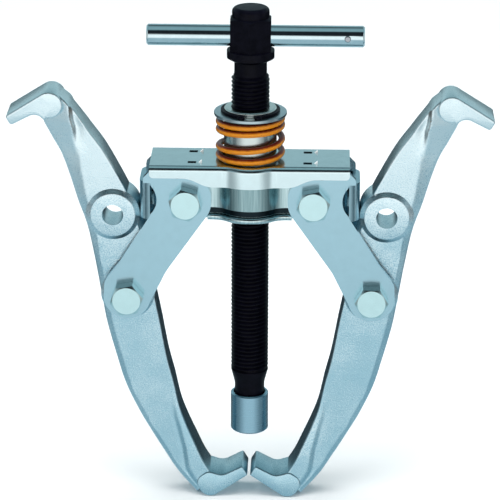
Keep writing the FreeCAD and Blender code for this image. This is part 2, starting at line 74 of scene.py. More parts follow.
MM = 0.001
SAME_PLACE = 1e-6           # metres; points closer than this are one
SLIVER = 1e-7               # metres; edges shorter than this are none
SMOOTH_ANGLE = 32           # degrees; a sharper edge shows as an edge
THREAD_ANGLE = 25           # the same, on a threaded piece
BORED_ANGLE = 38            # the same, on an arm after its Booleans
WIRE_ANGLE = 60             # the same, on the spring's wire
SOFT_ANGLE = 28             # degrees; a sharper edge is rounded
ARC_STEP = 0.6              # length of one side of a rounded corner
TURN_SIDES = 96             # sides of a turned shape


# ---- mesh helpers -------------------------------------------------------
def placed(name, data):
    """A new object in the scene."""
    made = bpy.data.objects.new(name, data)
    bpy.context.scene.collection.objects.link(made)
    return made


def piece(name, mesh, material, body, slot, *stands_for):
    """A new object from a mesh, riding on a body and standing for CAD nodes."""
    made = placed(name, mesh)
    made.data.materials.clear()
    made.data.materials.append(material)
    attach(made, body)
    if stands_for:
        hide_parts(*stands_for)
    return made


@contextmanager
def edited(mesh):
    """The mesh as a bmesh, written back at the end."""
    work = bmesh.new()
    work.from_mesh(mesh)
    yield work
    work.to_mesh(mesh)
    work.free()


def raw_mesh(name, points, faces):
    """Mesh from points in millimetres."""
    mesh = bpy.data.meshes.new(name)
    mesh.from_pydata([[c * MM for c in p] for p in points], [], faces)
    return mesh


def ring_faces(rows, ring):
    """Faces of a skin over rows of points, each a closed ring, with both ends capped."""
    faces = [list(range(ring)), list(range((rows - 1) * ring, rows * ring))]
    for row in range(rows - 1):
        for k in range(ring):
            n = (k + 1) % ring
            faces.append([row * ring + k, row * ring + n, (row + 1) * ring + n, (row + 1) * ring + k])
    return faces


def mesh_from(name, points, faces, smooth_angle=SMOOTH_ANGLE):
    """Mesh from points in millimetres, outward facing, smooth except at sharp edges."""
    mesh = raw_mesh(name, points, faces)
    tidy(mesh, smooth_angle)
    return mesh


def tidy(mesh, smooth_angle=SMOOTH_ANGLE):
    """Join doubled points, turn the faces outward and mark the sharp edges."""
    limit = math.radians(smooth_angle)
    with edited(mesh) as work:
        bmesh.ops.remove_doubles(work, verts=work.verts, dist=SAME_PLACE)
        bmesh.ops.dissolve_degenerate(work, edges=work.edges, dist=SLIVER)
        bmesh.ops.recalc_face_normals(work, faces=work.faces)
        for face in work.faces:
            face.smooth = True
        for edge in work.edges:
            edge.smooth = len(edge.link_faces) == 2 and edge.calc_face_angle(0) < limit
    mesh.update()


def cad_mesh(node, name):
    """A welded copy of a CAD node's mesh."""
    mesh = frame["nodes"][node].data.copy()
    mesh.name = name
    for attribute in ("custom_normal", "sharp_face", "sharp_edge"):
        if attribute in mesh.attributes:
            mesh.attributes.remove(mesh.attributes[attribute])
    tidy(mesh)
    return mesh


def kept_between(mesh, axis, low, high):
    """Cut a mesh down to what lies between two places (mm, or None) along an axis, and cap it."""
    with edited(mesh) as work:
        for level, sign in ((low, -1), (high, 1)):
            if level is None:
                continue
            point, normal = Vector(), Vector()
            point[axis] = level * MM
            normal[axis] = sign
            everything = work.verts[:] + work.edges[:] + work.faces[:]
            cut = bmesh.ops.bisect_plane(work, geom=everything, plane_co=point, plane_no=normal,
                                         clear_outer=True)
            rim = [e for e in cut["geom_cut"] if isinstance(e, bmesh.types.BMEdge)]
            bmesh.ops.contextual_create(work, geom=rim)
    tidy(mesh)


def joined(name, meshes):
    """One mesh out of several."""
    work = bmesh.new()
    for mesh in meshes:
        work.from_mesh(mesh)
    out = bpy.data.meshes.new(name)
    work.to_mesh(out)
    work.free()
    return out


def softened(thing, width):
    """Round the hard edges of a piece a little, as real edges are."""
    weld = thing.modifiers.new("weld", "WELD")
    weld.merge_threshold = SAME_PLACE
    bevel = thing.modifiers.new("soft_edges", "BEVEL")
    bevel.width = width * MM
    bevel.segments = 2
    bevel.limit_method = "ANGLE"
    bevel.angle_limit = math.radians(SOFT_ANGLE)
    bevel.use_clamp_overlap = True
    thing.modifiers.new("even_normals", "WEIGHTED_NORMAL").keep_sharp = True


def mirrored(mesh, name):
    """The mesh on the other side of the middle plane."""
    other = mesh.copy()
    other.name = name
    other.transform(Matrix.Diagonal((-1, 1, 1, 1)))
    other.flip_normals()
    return other


def outline(corners):
    """Points along a closed outline of corners (x, z, radius), each rounded by a tangent arc."""
    points = []
    count = len(corners)
    for i in range(count):
        here = Vector(corners[i][:2])
        radius = corners[i][2]
        to_before = (Vector(corners[i - 1][:2]) - here).normalized()
        to_after = (Vector(corners[(i + 1) % count][:2]) - here).normalized()
        half = to_before.angle(to_after) / 2
        if radius == 0:
            points.append(here)
            continue
        first = here + to_before * radius / math.tan(half)
        last = here + to_after * radius / math.tan(half)
        centre = here + (to_before + to_after).normalized() * radius / math.sin(half)
        turn = math.pi - 2 * half
        pieces = max(2, round(radius * turn / ARC_STEP))
        start = first - centre
        side = 1 if start.cross(last - centre) > 0 else -1
        for k in range(pieces + 1):
            spin = Matrix.Rotation(side * turn * k / pieces, 2)
            points.append(centre + spin @ start)
    return points


# ---- materials ----------------------------------------------------------
def shader(name, colour, metallic, roughness):
    """A Principled material and its node tree."""
    made = bpy.data.materials.new(name)
    made.use_nodes = True
    tree = made.node_tree
    bsdf = tree.nodes["Principled BSDF"]
    bsdf.inputs["Base Color"].default_value = (*colour, 1)
    bsdf.inputs["Metallic"].default_value = metallic
    bsdf.inputs["Roughness"].default_value = roughness
    return made, tree, bsdf


def noise(tree, scale, stretch=(1, 1, 1), detail=3.0):
    """Noise in object space; scale, or stretch along each axis, is in features per metre."""
    place = tree.nodes.new("ShaderNodeTexCoord")
    sized = tree.nodes.new("ShaderNodeMapping")
    sized.inputs["Scale"].default_value = stretch
    texture = tree.nodes.new("ShaderNodeTexNoise")
    texture.inputs["Scale"].default_value = scale
    texture.inputs["Detail"].default_value = detail
    tree.links.new(place.outputs["Object"], sized.inputs["Vector"])
    tree.links.new(sized.outputs["Vector"], texture.inputs["Vector"])
    return texture.outputs["Fac"]


def axes(tree, source, output):
    """X, Y and Z of a place or direction that a source node gives, as single values."""
    given = tree.nodes.new(source)
    split = tree.nodes.new("ShaderNodeSeparateXYZ")
    tree.links.new(given.outputs[output], split.inputs["Vector"])
    return split.outputs


def computed(tree, operation, *values):
    """Result of a Math node on linked values or plain numbers."""
    node = tree.nodes.new("ShaderNodeMath")
    node.operation = operation
    for value, socket in zip(values, node.inputs):
        if isinstance(value, float):
            socket.default_value = value
        else:
            tree.links.new(value, socket)
    return node.outputs[0]


def ranged(tree, value, low, high, from_low=0.0, from_high=1.0):
    """A value mapped onto another range."""
    node = tree.nodes.new("ShaderNodeMapRange")
    node.inputs["From Min"].default_value = from_low
    node.inputs["From Max"].default_value = from_high
    node.inputs["To Min"].default_value = low
    node.inputs["To Max"].default_value = high
    tree.links.new(value, node.inputs["Value"])
    return node.outputs["Result"]


def added(tree, first, *more):
    """Sum of two or more values."""
    for value in more:
        first = computed(tree, "ADD", first, value)
    return first


def ramp(tree, value, stops):
    """Colour looked up by a value: (position, colour) stops."""
    node = tree.nodes.new("ShaderNodeValToRGB")
    places = node.color_ramp.elements
    while len(places) < len(stops):
        places.new(0.5)
    for place, (position, colour) in zip(places, stops):    # every position comes before any colour
        place.position = position
    for place, (position, colour) in zip(places, stops):
        place.color = (*colour, 1)
    tree.links.new(value, node.inputs["Fac"])
    return node.outputs["Color"]


TINT_FROM = 0.32            # values at which a tint is its dark and its light colour
TINT_TO = 0.68


def tint(tree, bsdf, value, dark, light):
    """Base colour that drifts between two colours with a value."""
    tree.links.new(ramp(tree, value, [(TINT_FROM, dark), (TINT_TO, light)]), bsdf.inputs["Base Color"])


def bumped(tree, bsdf, layers):
    """Bump from (height value, depth in metres) layers, one over the other."""
    normal = None
    for value, depth in layers:
        node = tree.nodes.new("ShaderNodeBump")
        node.inputs["Strength"].default_value = 1.0
        node.inputs["Distance"].default_value = depth
        tree.links.new(value, node.inputs["Height"])
        if normal:
            tree.links.new(normal, node.inputs["Normal"])
        normal = node.outputs["Normal"]
    tree.links.new(normal, bsdf.inputs["Normal"])


def forged_plate():
    """Plated forging: a fine blasted grain over faint swells, with painted light that makes it paler
    towards the upper claws.
    """
    made, tree, bsdf = shader("forged_plate", (0.60, 0.75, 0.81), 1.0, 0.3)
    grain = noise(tree, 1700, detail=4)
    swell = noise(tree, 160, detail=2)
    drift = noise(tree, 45)
    speckle = ranged(tree, grain, -0.2, 0.2, 0.3, 0.7)
    place = axes(tree, "ShaderNodeTexCoord", "Object")
    # painted light: the base colour grows paler with height, towards the upper claws
    height = ranged(tree, place["Z"], -0.14, 0.26, 60 * MM, 160 * MM)
    total = added(tree, speckle, height, ranged(tree, drift, 0.4, 0.6, 0.3, 0.7))
    tint(tree, bsdf, total, (0.36, 0.57, 0.66), (0.74, 0.87, 0.91))
    tree.links.new(ranged(tree, grain, 0.22, 0.38), bsdf.inputs["Roughness"])
    bumped(tree, bsdf, [(swell, 0.00010), (grain, 0.00012)])
    return made


def plain_plate(name, colour, roughness, wave=0.00002, grain_depth=0.000004):
    """Smooth plated sheet with a faint ripple and fine handling marks."""
    made, tree, bsdf = shader(name, colour, 1.0, roughness)
    ripple = noise(tree, 60, detail=1)
    grain = noise(tree, 2200, detail=2)
    smear = noise(tree, 260, detail=5)
    tint(tree, bsdf, smear, tuple(c * 0.95 for c in colour), colour)
    tree.links.new(ranged(tree, smear, roughness * 0.8, roughness * 1.25), bsdf.inputs["Roughness"])
    bumped(tree, bsdf, [(ripple, wave), (grain, grain_depth)])
    return made


def channel_plate(name, dark, middle, shade_above):
    """Brushed plating of the yoke, with painted shade: darker round the middle and above a height (mm)."""
    made, tree, bsdf = shader(name, (0.5, 0.66, 0.68), 1.0, 0.2)
    brushed = noise(tree, 1.0, stretch=(1500, 1500, 40), detail=2)
    place = axes(tree, "ShaderNodeTexCoord", "Object")
    # painted shade: the tone is darker round the middle of the yoke than at its ends
    outward = ranged(tree, computed(tree, "ABSOLUTE", place["X"]), middle, 0.64, 12 * MM, 19 * MM)
    # painted shade: darker above the given height, where the upper channel shades the lower one
    painted_shade_high = ranged(tree, place["Z"], 0.0, -1.0, (shade_above - 0.4) * MM, shade_above * MM)
    total = added(tree, outward, painted_shade_high, ranged(tree, brushed, -0.06, 0.06, 0.3, 0.7))
    tint(tree, bsdf, total, dark, (0.60, 0.75, 0.77))
    tree.links.new(ranged(tree, brushed, 0.14, 0.26), bsdf.inputs["Roughness"])
    bumped(tree, bsdf, [(brushed, 0.000005)])
    return made


def tab_painted_highlight():
    """Painted highlight: a pale matt white that stands in for the light the punched tabs catch."""
    made, tree, bsdf = shader("tab_painted_highlight", (0.85, 0.9, 0.9), 0.0, 0.5)
    tint(tree, bsdf, noise(tree, 900), (0.80, 0.86, 0.87), (0.88, 0.93, 0.93))
    return made


def turned_steel(name, colour, roughness):
    """Turned metal: very fine rings round the screw's axis."""
    made, tree, bsdf = shader(name, colour, 1.0, roughness)
    rings = noise(tree, 1.0, stretch=(40, 40, 3500), detail=2)
    tree.links.new(ranged(tree, rings, roughness * 0.75, roughness * 1.3), bsdf.inputs["Roughness"])
    bumped(tree, bsdf, [(rings, 0.000004)])
    return made


def black_oxide():
    """Blued and oiled steel."""
    made, tree, bsdf = shader("black_oxide", (0.002, 0.002, 0.004), 0.0, 0.38)
    bsdf.inputs["Specular IOR Level"].default_value = 0.07
    patch = noise(tree, 300, detail=4)
    fine = noise(tree, 3000, detail=2)
    tint(tree, bsdf, patch, (0.001, 0.001, 0.003), (0.003, 0.003, 0.007))
    tree.links.new(ranged(tree, patch, 0.3, 0.48), bsdf.inputs["Roughness"])
    bumped(tree, bsdf, [(fine, 0.000006)])
    return made


def orange_paint():
    """Semi-gloss orange coating over spring wire, with painted shade: dark red on the side that faces up.
    """
    made, tree, bsdf = shader("orange_paint", (0.60, 0.19, 0.0006), 0.0, 0.3)
    bsdf.inputs["Specular IOR Level"].default_value = 0.4
    patch = noise(tree, 500)
    # painted shade: the wire's upward-facing side turns dark red, standing in for the shade of the turn
    # above
    painted_top_shade = ranged(tree, axes(tree, "ShaderNodeNewGeometry", "Normal")["Z"], 0.70, 0.28, 0.2, 0.8)
    total = added(tree, painted_top_shade, ranged(tree, patch, -0.06, 0.06, 0.3, 0.7))
    tint(tree, bsdf, total, (0.09, 0.006, 0.0003), (0.60, 0.20, 0.0006))
    bumped(tree, bsdf, [(patch, 0.00001)])
    return made


CHANNEL_SHADE_HEIGHT = 114.6      # top of the lower channel's bright lip; above it the channel gets painted shade
NO_SHADE_HEIGHT = 200             # a height above the whole yoke, so no painted shade

MATERIALS = {
    "forged_plate": forged_plate(),
    "link_plate": plain_plate("link_plate", (0.36, 0.55, 0.63), 0.22),
    "pressed_plate": plain_plate("pressed_plate", (0.62, 0.76, 0.79), 0.16, wave=0.00001),
    "fastener_plate": plain_plate("fastener_plate", (0.56, 0.77, 0.79), 0.22, wave=0.00004,
                                  grain_depth=0.00001),
    "zinc_plate": plain_plate("zinc_plate", (0.48, 0.58, 0.62), 0.3),
    "chrome_bar": plain_plate("chrome_bar", (0.60, 0.73, 0.77), 0.12, wave=0.000006,
                              grain_depth=0.000002),
    "satin_steel": turned_steel("satin_steel", (0.32, 0.51, 0.61), 0.28),
    "turned_steel": turned_steel("turned_steel", (0.62, 0.68, 0.66), 0.24),
    "bearing_steel": turned_steel("bearing_steel", (0.10, 0.11, 0.13), 0.25),
    "spring_steel": turned_steel("spring_steel", (0.4, 0.42, 0.45), 0.3),
    "black_oxide": black_oxide(),
    "orange_paint": orange_paint(),
    # the yoke's channels: the pressed plate's look with painted shade
    "upper_channel": channel_plate("upper_channel", (0.12, 0.24, 0.26), 0.42, NO_SHADE_HEIGHT),
    # lower channel: near-black painted shade above its lip
    "lower_channel": channel_plate("lower_channel", (0.012, 0.02, 0.025), 0.62, CHANNEL_SHADE_HEIGHT),
    "tab_painted_highlight": tab_painted_highlight(),
}
LOOK_OF = {                 # nodes that look unlike the rest of their slot; the yoke's channels carry painted shade
    "tee_bar_pins": "spring_steel",
    "yoke_upper_channel": "upper_channel",
    "yoke_lower_channel": "lower_channel",
}
SLOT_OF = {row["node"]: row["material_slot"] for row in frame["record"]["subparts"]}
EDGE_WIDTH = {              # how wide the rounding of the edges is, by slot
    "pressed_plate": 0.25, "link_plate": 0.35, "fastener_plate": 0.18, "turned_steel": 0.15,
    "satin_steel": 0.2, "chrome_bar": 0.15, "black_oxide": 0.12, "zinc_plate": 0.1,
}


def dress_cad_nodes():
    """Give every CAD node the material of its slot, or its own look."""
    for name, node in frame["nodes"].items():
        node.data.materials.clear()
        node.data.materials.append(MATERIALS[LOOK_OF.get(name, SLOT_OF[name])])


def soften_cad_nodes():
    """Round the edges of the CAD nodes that no piece stands for."""
    for name, node in frame["nodes"].items():
        if not node.hide_render and SLOT_OF[name] in EDGE_WIDTH:
            softened(node, EDGE_WIDTH[SLOT_OF[name]])


# ---- shared solids ------------------------------------------------------
def slab_mesh(name, corners, half, edge=0.7, segments=3):
    """An outline in the XZ plane with thickness both ways along Y and rounded edges."""
    rim = outline(corners)
    count = len(rim)
    points = [(p.x, -half, p.y) for p in rim] + [(p.x, half, p.y) for p in rim]
    faces = [list(range(count)), list(range(count, 2 * count))[::-1]]
    faces += [[i, (i + 1) % count, count + (i + 1) % count, count + i] for i in range(count)]
    mesh = raw_mesh(name, points, faces)
    with edited(mesh) as work:
        bmesh.ops.recalc_face_normals(work, faces=work.faces)
        long_edges = [e for e in work.edges if e.verts[0].co.y == e.verts[1].co.y]
        bmesh.ops.bevel(work, geom=long_edges, offset=edge * MM, segments=segments, profile=0.5,
                        affect="EDGES", clamp_overlap=True)
    tidy(mesh)
    return mesh


def revolved(name, profile, centre):
    """A solid of revolution from (radius, y) points about the line along Y at (x, z)."""
    points = []
    for radius, y in profile:
        for k in range(TURN_SIDES):
            a = 2 * math.pi * k / TURN_SIDES
            points.append((centre[0] + radius * math.cos(a), y, centre[1] + radius * math.sin(a)))
    return mesh_from(name, points, ring_faces(len(profile), TURN_SIDES))


def both_ways(profile):
    """A (radius, y) profile carried on to the other side of the middle plane."""
    return profile + [(r, -y) for r, y in reversed(profile)]


THREAD_DEPTH = 0.6134       # of the pitch, from crest to root
RUN_OUT = 1.2               # length over which a thread ends


def level_at(face, height):
    """Whether a face lies flat at a height."""
    return all(abs(corner.co.z - height * MM) < SLIVER for corner in face.verts)


def threaded_rod(name, radius, pitch, low, top, sides):
    """Closed rod with a real right-hand 60 degree thread; it tapers to the root at both ends."""
    root = radius - THREAD_DEPTH * pitch
    shape = ((-1 / 16, radius), (1 / 16, radius), (3 / 8, root), (5 / 8, root))
    first = math.floor(low / pitch) - 2
    last = math.ceil(top / pitch) + 2
    rows = [(n + at, r) for n in range(first, last) for at, r in shape]
    points = []
    for height, r in rows:
        for k in range(sides):
            a = 2 * math.pi * k / sides
            z = (height + k / sides) * pitch
            taper = min(z - low, top - z) / RUN_OUT
            here = root + (r - root) * min(1.0, max(0.0, taper))
            points.append((here * math.cos(a), here * math.sin(a), min(top, max(low, z))))
    faces = []
    for row in range(len(rows) - 1):
        start = row * sides
        for k in range(sides - 1):
            faces.append([start + k, start + k + 1, start + sides + k + 1, start + sides + k])
        if row + 1 + len(shape) < len(rows):                # the last side joins the thread's next turn
            up = start + len(shape) * sides
            faces.append([start + sides - 1, up, up + sides, start + 2 * sides - 1])
    mesh = raw_mesh(name, points, faces)
    with edited(mesh) as work:
        bmesh.ops.remove_doubles(work, verts=work.verts, dist=2 * SAME_PLACE)
        bmesh.ops.dissolve_degenerate(work, edges=work.edges, dist=SAME_PLACE)
        inside = [f for f in work.faces if level_at(f, low) or level_at(f, top)]
        bmesh.ops.delete(work, geom=inside, context="FACES")
        loose = [v for v in work.verts if not v.link_faces]
        bmesh.ops.delete(work, geom=loose, context="VERTS")
        rims = [e for e in work.edges if len(e.link_faces) == 1]
        bmesh.ops.holes_fill(work, edges=rims, sides=0)
    tidy(mesh, THREAD_ANGLE)
    return mesh


# ---- forcing screw ------------------------------------------------------
SCREW_RADIUS = 9.0
SCREW_PITCH = 2.0
SCREW_THREAD = (31.5, 180.8)                                # heights it is threaded between
SCREW_SIDES = 64
JOIN = 0.3                  # how far parts of one piece run into each other


def forcing_screw():
    """The screw with a real thread between its turned nose and its collar."""
    low, top = SCREW_THREAD
    nose = cad_mesh("centre_screw", "screw_nose")
    kept_between(nose, 2, None, low + JOIN)
    head = cad_mesh("centre_screw", "screw_head")
    kept_between(head, 2, top - JOIN, None)
    thread = threaded_rod("screw_thread", SCREW_RADIUS, SCREW_PITCH, low, top, SCREW_SIDES)
    mesh = joined("threaded_screw", [nose, thread, head])
    tidy(mesh, THREAD_ANGLE)
    piece("threaded_screw", mesh, MATERIALS["black_oxide"], "screw", "black_oxide", "centre_screw")


# ---- spring -------------------------------------------------------------
WIRE_RADIUS = 1.55
SPRING_RADIUS = 14.9
WIRE_STEPS = 260
WIRE_SIDES = 20
END_STEPS = 3               # steps over which the wire's ends round off
END_SHARE = 0.8             # of its radius, left at the very end
# Turns from the front and the wire's height there.
SPRING_RISE = [(-0.5, 140.97), (0.0, 141.6), (0.5, 144.15), (1.0, 147.0), (2.0, 155.3), (2.4, 156.2),
               (3.0, 158.6), (3.4, 159.42)]


def eased(table, at):
    """A smooth value between the rows of a rising (place, value) table."""
    slopes = [0.0]
    for (a, u), (b, v), (c, w) in zip(table, table[1:], table[2:]):
        before, after = (v - u) / (b - a), (w - v) / (c - b)
        slopes.append(2 * before * after / (before + after))
    slopes.append(0.0)
    for i in range(len(table) - 1):
        (a, u), (b, v) = table[i], table[i + 1]
        if at <= b or i == len(table) - 2:
            span = b - a
            t = (at - a) / span
            return (u * (2 * t ** 3 - 3 * t ** 2 + 1) + slopes[i] * span * (t ** 3 - 2 * t ** 2 + t)
                    + v * (3 * t ** 2 - 2 * t ** 3) + slopes[i + 1] * span * (t ** 3 - t ** 2))


def compression_spring():
    """Right-hand spring whose last turns lie closer together."""
    first, last = SPRING_RISE[0][0], SPRING_RISE[-1][0]
    line = []
    for i in range(WIRE_STEPS + 1):
        turn = first + (last - first) * i / WIRE_STEPS
        a = 2 * math.pi * turn - math.pi / 2
        height = eased(SPRING_RISE, turn)
        line.append(Vector((SPRING_RADIUS * math.cos(a), SPRING_RADIUS * math.sin(a), height)))
    points = []
    for i, here in enumerate(line):
        ahead = (line[min(i + 1, WIRE_STEPS)] - line[max(i - 1, 0)]).normalized()
        outward = Vector((here.x, here.y, 0)).normalized()
        up = ahead.cross(outward)
        from_end = min(i, WIRE_STEPS - i, END_STEPS)
        rounded = math.sin(math.pi / 2 * from_end / END_STEPS)
        radius = WIRE_RADIUS * (END_SHARE + (1 - END_SHARE) * rounded)
        for k in range(WIRE_SIDES):
            b = 2 * math.pi * k / WIRE_SIDES
            points.append(here + (outward * math.cos(b) + up * math.sin(b)) * radius)
    mesh = mesh_from("orange_spring", points, ring_faces(len(line), WIRE_SIDES), WIRE_ANGLE)
    spring = piece("orange_spring", mesh, MATERIALS["orange_paint"], "yoke", "orange_paint", "jaw_spring")
    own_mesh(spring)


# ---- arms ---------------------------------------------------------------
# Cross-sections of the right arm's shank, from the lower claw up: (inner x, inner z, outer x, outer z).
SHANK = [
    (19.1, -19.7, 25.8, -32.7), (22.5, -14.0, 34.5, -22.5), (26.0, -6.1, 40.8, -12.5),
    (30.3, 4.0, 47.6, -1.0), (33.8, 14.0, 54.0, 10.6), (36.6, 27.0, 60.2, 24.5),
    (39.8, 40.1, 64.3, 38.5), (43.0, 58.0, 68.9, 56.5), (45.9, 73.0, 71.6, 72.5),
    (48.8, 90.0, 74.4, 89.5), (52.4, 107.0, 77.6, 105.5), (57.2, 121.5, 81.9, 118.5),
    (63.3, 133.9, 85.4, 130.5), (69.5, 145.0, 89.2, 141.6), (75.7, 153.7, 93.5, 149.5),
    (79.8, 159.6, 97.1, 156.4), (84.6, 166.2, 98.6, 160.6), (89.6, 171.0, 98.5, 165.5),
]
# Height and how far the bevel of the outer flank reaches in.
OUTER_REACH = [(-35, 2.6), (90, 3.0), (110, 3.9), (124, 5.2), (134, 6.6), (142, 8.4), (149, 10.8),
               (156, 13.8), (166, 16.0)]
# Height and the width of the rib along the inner flank.
RIB_WIDTH = [(-35, 11.0), (-19, 9.3), (-8, 6.2), (2, 4.5), (10, 3.6), (28, 0.8), (200, 0.8)]
STATIONS = 170              # steps along the shank and across it
ACROSS = 44
FACE_HALF = 7.7             # half thickness of the flat face
FACE_SWELL = 0.5            # what it gains between two heights
FACE_SWELLS = (55, 110)
EDGE_HALF = 4.9             # half thickness at the outer flank
EDGE_LOSS = 0.9             # what it loses between two heights
EDGE_THINS = (140, 156)
STEM = (141, 160)           # heights between which the stem of the upper claw takes over
CREST_HALF = 9.2            # half thickness along the stem's crest
CREST_BACK = 1.8            # from the crest to where the face begins
VALLEY_DEPTH = 1.5          # of the hollow between the crest and the face
VALLEY_WIDTH = 3.2
RIB_WHOLE = -18             # height below which the rib is whole
RIB_END = 28                # height at which it has faded out
RIB_RISE = 1.7
RIB_FLANK = (1.6, 0.6)      # how far its slope starts before its width and ends beyond it
GROOVE_DEPTH = 0.25         # of the shallow groove along the rib's foot
GROOVE_WIDTH = 0.8
INNER_ROUND = 0.9           # radii of the shank's inner and outer edges
OUTER_ROUND = 1.3

# Corners (x, z, radius) of the claws, and the turned pieces' (radius, y) profiles.
UPPER_HOOK = [(115.2, 161.4, 1.3), (98.0, 172.2, 0.0), (92.0, 167.0, 0.0), (96.5, 159.4, 0.0),
              (100.6, 163.2, 5.0), (112.6, 157.0, 1.2)]
UPPER_HEEL = (94.5, 166.9)
HEEL = [(5.6, 10.0), (6.0, 9.93), (6.22, 9.72), (6.3, 9.4)]
LOWER_HOOK = [(27.4, -25.0, 5.0), (20.0, -19.6, 3.6), (13.0, -21.8, 6.0), (3.2, -16.6, 0.8),
              (0.4, -21.4, 0.8), (20.2, -34.8, 5.6)]
HOOK_HALF = 10.0
PIVOT_HOLE = 5.06           # radius of the hole for the lower bolt
SPARE_HOLE = 5.1
SPARE_PLACE = (65.1, 112.9)
BOSS = [(10.3, 9.9), (10.7, 9.82), (10.9, 9.6), (12.9, 8.0)]


def smooth(at, low, high):
    """0 below low and 1 above high, with an eased step between them."""
    t = min(1.0, max(0.0, (at - low) / (high - low)))
    return t * t * (3 - 2 * t)


def looked_up(table, at):
    """Straight-line value between the rows of a (place, value) table."""
    for (a, u), (b, v) in zip(table, table[1:]):
        if at <= b:
            return u + (v - u) * max(0.0, at - a) / (b - a)
    return table[-1][1]


def spline(rows, t):
    """Catmull-Rom value at t from 0 to 1 through rows of numbers."""
    place = t * (len(rows) - 1)
    i = min(int(place), len(rows) - 2)
    f = place - i
    before, here, after, beyond = (rows[min(len(rows) - 1, max(0, i + k))] for k in (-1, 0, 1, 2))
    return [0.5 * (2 * q + (r - p) * f + (2 * p - 5 * q + 4 * r - s) * f ** 2
                   + (3 * q - p - 3 * r + s) * f ** 3)
            for p, q, r, s in zip(before, here, after, beyond)]


def rounding(distance, radius):
    """How far a rounded edge drops below its face at a distance from the flank."""
    if distance >= radius:
        return 0.0
    return radius - math.sqrt(radius ** 2 - (radius - distance) ** 2)


def shank_depth(inner, outer, z):
    """Half thickness of the shank at distances (mm) from its inner and outer flanks."""
    face = FACE_HALF + FACE_SWELL * smooth(z, *FACE_SWELLS)
    edge = EDGE_HALF - EDGE_LOSS * smooth(z, *EDGE_THINS)
    reach = looked_up(OUTER_REACH, z)
    depth = edge + (face - edge) * min(1.0, outer / reach)
    crest = reach - CREST_BACK
    past_crest = smooth(outer, crest, reach)
    valley = VALLEY_DEPTH * math.exp(-(max(0.0, outer - reach) / VALLEY_WIDTH) ** 2) * past_crest
    rise = max(0.0, edge + (CREST_HALF - edge) * min(1.0, outer / crest) - depth)
    depth += smooth(z, *STEM) * (rise * (1 - past_crest) - valley)
    rib = smooth(-z, -RIB_END, -RIB_WHOLE)
    width = looked_up(RIB_WIDTH, z)
    depth += rib * RIB_RISE * (1 - smooth(inner, width - RIB_FLANK[0], width + RIB_FLANK[1]))
    depth -= rib * GROOVE_DEPTH * math.exp(-((inner - width - GROOVE_WIDTH) / GROOVE_WIDTH) ** 2)
    return depth - rounding(inner, INNER_ROUND) - rounding(outer, OUTER_ROUND)


def shank_mesh():
    """The forged shank: flat faces, bevelled outer flank and the ribs that run into both claws."""
    points = []
    for i in range(STATIONS + 1):
        inner_x, inner_z, outer_x, outer_z = spline(SHANK, i / STATIONS)
        inner, outer = Vector((inner_x, 0, inner_z)), Vector((outer_x, 0, outer_z))
        width = (outer - inner).length
        front, back = [], []
        for j in range(ACROSS + 1):
            part_way = (1 - math.cos(math.pi * j / ACROSS)) / 2
            here = inner.lerp(outer, part_way)
            depth = shank_depth(width * part_way, width * (1 - part_way), here.z)
            front.append((here.x, -depth, here.z))
            back.append((here.x, depth, here.z))
        points += front + back[::-1]
    return mesh_from("shank", points, ring_faces(STATIONS + 1, 2 * (ACROSS + 1)))


def boolean(base, operand, operation):
    """A mesh after one exact Boolean with another."""
    first, second = placed("base", base), placed("operand", operand)
    modifier = first.modifiers.new("boolean", "BOOLEAN")
    modifier.operation = operation
    modifier.solver = "EXACT"
    modifier.object = second
    bpy.context.view_layer.update()
    result = bpy.data.meshes.new_from_object(first.evaluated_get(bpy.context.evaluated_depsgraph_get()))
    for thing in (first, second):
        bpy.data.objects.remove(thing)
    return result


def bolt_place(node):
    """Place (x, z) of a bolt, which lies along Y."""
    low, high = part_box(node)
    return (low[0] + high[0]) / 2 / MM, (low[2] + high[2]) / 2 / MM


def arm_mesh():
    """The whole right arm: shank, both claws, drafted bosses and bored holes."""
    pivot = bolt_place("right_lower_bolt")
    mesh = shank_mesh()
    solids = [slab_mesh("upper_hook", UPPER_HOOK, HOOK_HALF),
              slab_mesh("lower_hook", LOWER_HOOK, HOOK_HALF),
              revolved("heel", both_ways(HEEL), UPPER_HEEL)]
    solids += [revolved("boss", both_ways(BOSS), place) for place in (pivot, SPARE_PLACE)]
    for solid in solids:
        mesh = boolean(mesh, solid, "UNION")
    for place, radius in ((pivot, PIVOT_HOLE), (SPARE_PLACE, SPARE_HOLE)):
        bore = revolved("bore", both_ways([(radius, -2 * HOOK_HALF)]), place)
        mesh = boolean(mesh, bore, "DIFFERENCE")
    tidy(mesh, BORED_ANGLE)
    return mesh


def add_arms():
    """Both arms, the left one mirrored from the right."""
    right = arm_mesh()
    left = mirrored(right, "left_arm_forging")
    for side, mesh in (("right", right), ("left", left)):
        arm = side + "_arm"
        piece(arm + "_forging", mesh, MATERIALS["forged_plate"], arm, "forged_plate", arm)


# ---- pivot bolts --------------------------------------------------------
BOLT_RADIUS = 5.0
BOLT_PITCH = 1.5
BOLT_THREAD = (12.0, 23.55)                                 # along Y, from inside the nut to the bolt's end
BOLT_SIDES = 48
BOLT_EDGE = 0.15


def threaded_bolt(side, level, body):
    """The bolt with a real thread where it stands out of its nut."""
    node = side + "_" + level + "_bolt"
    x, z = bolt_place(node)
    low, end = BOLT_THREAD
    plain = cad_mesh(node, node + "_plain")
    kept_between(plain, 1, None, low + JOIN)
    thread = threaded_rod(node + "_thread", BOLT_RADIUS, BOLT_PITCH, low, end, BOLT_SIDES)
    thread.transform(Matrix.Rotation(-math.pi / 2, 4, "X"))
    thread.transform(Matrix.Translation((x * MM, 0, z * MM)))
    mesh = joined(node + "_threaded", [plain, thread])
    tidy(mesh, THREAD_ANGLE)
    bolt = piece(node + "_threaded", mesh, MATERIALS["fastener_plate"], body, "fastener_plate", node)
    softened(bolt, BOLT_EDGE)


